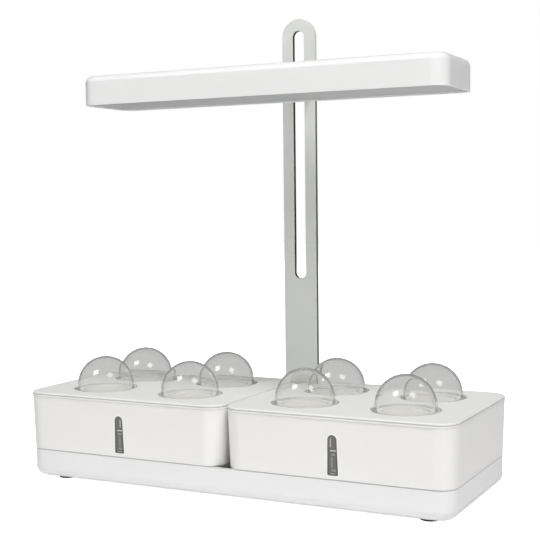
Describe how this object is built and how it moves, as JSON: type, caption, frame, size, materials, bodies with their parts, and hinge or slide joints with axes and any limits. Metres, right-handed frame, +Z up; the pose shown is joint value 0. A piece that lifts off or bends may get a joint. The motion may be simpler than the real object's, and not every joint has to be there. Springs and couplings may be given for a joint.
{
  "type": "countertop hydroponic garden",
  "caption": "Countertop hydroponic garden: lift-out water tanks in a footed tray, domed planting baskets in flat lids, and a long lamp that slides up and down a slotted post.",
  "frame": {"origin": "on the table, under the middle of the whole garden", "axes": "+Z up, +X along the row of tanks to the viewer's right, +Y from the front to the post at the back"},
  "size_m": [0.4308, 0.1908, 0.449],
  "materials": {
    "tray_white": "satin moulded",
    "foot_rubber": "matte",
    "post_metal": "satin anodised",
    "screw_steel": "plated",
    "tank_white": "satin moulded",
    "window_grey": "clear, smoke tinted",
    "seal_rubber": "matte",
    "lid_white": "fine texture",
    "basket_grey": "moulded",
    "sponge_foam": "open foam",
    "dome_clear": "clear",
    "lamp_white": "satin moulded",
    "diffuser_grey": "satin translucent",
    "board_aluminium": "white coated",
    "led_yellow": "matte",
    "circuit_green": "satin",
    "button_grey": "satin",
    "inlet_black": "matte",
    "arm_white": "satin",
    "nut_brass": "turned",
    "washer_steel": "satin",
    "knob_grey": "satin"
  },
  "bodies": {
    "base": {"base_tray": "tray_white", "rubber_feet": "foot_rubber", "post": "post_metal", "post_screws": "screw_steel"},
    "water_tank_left": {"tank_left": "tank_white", "window_left": "window_grey", "window_gasket_left": "seal_rubber"},
    "planting_lid_left": {"lid_left": "lid_white"},
    "planter_left_1": {"basket_left_1": "basket_grey", "sponge_left_1": "sponge_foam"},
    "cover_left_1": {"dome_left_1": "dome_clear"},
    "planter_left_2": {"basket_left_2": "basket_grey", "sponge_left_2": "sponge_foam"},
    "cover_left_2": {"dome_left_2": "dome_clear"},
    "planter_left_3": {"basket_left_3": "basket_grey", "sponge_left_3": "sponge_foam"},
    "cover_left_3": {"dome_left_3": "dome_clear"},
    "planter_left_4": {"basket_left_4": "basket_grey", "sponge_left_4": "sponge_foam"},
    "cover_left_4": {"dome_left_4": "dome_clear"},
    "water_tank_right": {"tank_right": "tank_white", "window_right": "window_grey", "window_gasket_right": "seal_rubber"},
    "planting_lid_right": {"lid_right": "lid_white"},
    "planter_right_1": {"basket_right_1": "basket_grey", "sponge_right_1": "sponge_foam"},
    "cover_right_1": {"dome_right_1": "dome_clear"},
    "planter_right_2": {"basket_right_2": "basket_grey", "sponge_right_2": "sponge_foam"},
    "cover_right_2": {"dome_right_2": "dome_clear"},
    "planter_right_3": {"basket_right_3": "basket_grey", "sponge_right_3": "sponge_foam"},
    "cover_right_3": {"dome_right_3": "dome_clear"},
    "planter_right_4": {"basket_right_4": "basket_grey", "sponge_right_4": "sponge_foam"},
    "cover_right_4": {"dome_right_4": "dome_clear"},
    "lamp": {"lamp_housing": "lamp_white", "lamp_diffuser": "diffuser_grey", "led_board": "board_aluminium", "led_chips": "led_yellow", "board_screws": "screw_steel", "control_board": "circuit_green", "dc_inlet": "inlet_black", "lamp_arm": "arm_white", "arm_screws": "screw_steel", "clamp_nut": "nut_brass"},
    "clamp_ring": {"clamp_washer": "washer_steel"},
    "knob": {"height_knob": "knob_grey", "clamp_bolt": "screw_steel"},
    "button": {"power_button": "button_grey"}
  },
  "joints": [
    {"name": "lamp_height", "type": "slide", "parent": "base", "child": "lamp", "axis": [0, 0, 1], "range_m": [-0.18, 0.05]},
    {"name": "tank_left_lift", "type": "slide", "parent": "base", "child": "water_tank_left", "axis": [0, 0, 1], "range_m": [0, 0.045]},
    {"name": "lid_left_lift", "type": "slide", "parent": "water_tank_left", "child": "planting_lid_left", "axis": [0, 0, 1], "range_m": [0, 0.04]},
    {"name": "basket_left_1_lift", "type": "slide", "parent": "planting_lid_left", "child": "planter_left_1", "axis": [0, 0, 1], "range_m": [0, 0.055]},
    {"name": "dome_left_1_lift", "type": "slide", "parent": "planter_left_1", "child": "cover_left_1", "axis": [0, 0, 1], "range_m": [0, 0.04]},
    {"name": "basket_left_2_lift", "type": "slide", "parent": "planting_lid_left", "child": "planter_left_2", "axis": [0, 0, 1], "range_m": [0, 0.055]},
    {"name": "dome_left_2_lift", "type": "slide", "parent": "planter_left_2", "child": "cover_left_2", "axis": [0, 0, 1], "range_m": [0, 0.04]},
    {"name": "basket_left_3_lift", "type": "slide", "parent": "planting_lid_left", "child": "planter_left_3", "axis": [0, 0, 1], "range_m": [0, 0.055]},
    {"name": "dome_left_3_lift", "type": "slide", "parent": "planter_left_3", "child": "cover_left_3", "axis": [0, 0, 1], "range_m": [0, 0.04]},
    {"name": "basket_left_4_lift", "type": "slide", "parent": "planting_lid_left", "child": "planter_left_4", "axis": [0, 0, 1], "range_m": [0, 0.055]},
    {"name": "dome_left_4_lift", "type": "slide", "parent": "planter_left_4", "child": "cover_left_4", "axis": [0, 0, 1], "range_m": [0, 0.04]},
    {"name": "tank_right_lift", "type": "slide", "parent": "base", "child": "water_tank_right", "axis": [0, 0, 1], "range_m": [0, 0.045]},
    {"name": "lid_right_lift", "type": "slide", "parent": "water_tank_right", "child": "planting_lid_right", "axis": [0, 0, 1], "range_m": [0, 0.04]},
    {"name": "basket_right_1_lift", "type": "slide", "parent": "planting_lid_right", "child": "planter_right_1", "axis": [0, 0, 1], "range_m": [0, 0.055]},
    {"name": "dome_right_1_lift", "type": "slide", "parent": "planter_right_1", "child": "cover_right_1", "axis": [0, 0, 1], "range_m": [0, 0.04]},
    {"name": "basket_right_2_lift", "type": "slide", "parent": "planting_lid_right", "child": "planter_right_2", "axis": [0, 0, 1], "range_m": [0, 0.055]},
    {"name": "dome_right_2_lift", "type": "slide", "parent": "planter_right_2", "child": "cover_right_2", "axis": [0, 0, 1], "range_m": [0, 0.04]},
    {"name": "basket_right_3_lift", "type": "slide", "parent": "planting_lid_right", "child": "planter_right_3", "axis": [0, 0, 1], "range_m": [0, 0.055]},
    {"name": "dome_right_3_lift", "type": "slide", "parent": "planter_right_3", "child": "cover_right_3", "axis": [0, 0, 1], "range_m": [0, 0.04]},
    {"name": "basket_right_4_lift", "type": "slide", "parent": "planting_lid_right", "child": "planter_right_4", "axis": [0, 0, 1], "range_m": [0, 0.055]},
    {"name": "dome_right_4_lift", "type": "slide", "parent": "planter_right_4", "child": "cover_right_4", "axis": [0, 0, 1], "range_m": [0, 0.04]},
    {"name": "clamp_travel", "type": "slide", "parent": "lamp", "child": "clamp_ring", "axis": [0, 1, 0], "range_m": [0, 0.0008]},
    {"name": "knob_turn", "type": "hinge", "parent": "clamp_ring", "child": "knob", "pos_m": [0, 0.085, 0.3787], "axis": [0, 1, 0], "range_deg": [0, 360]},
    {"name": "button_press", "type": "slide", "parent": "lamp", "child": "button", "axis": [0, 0, -1], "range_m": [0, 0.0008], "stiffness_N_per_m": 400, "springref_m": -0.0005}
  ],
  "couplings": [
    {"joint": "knob_turn", "follows": "clamp_travel", "rad_per_m": 7854}
  ]
}
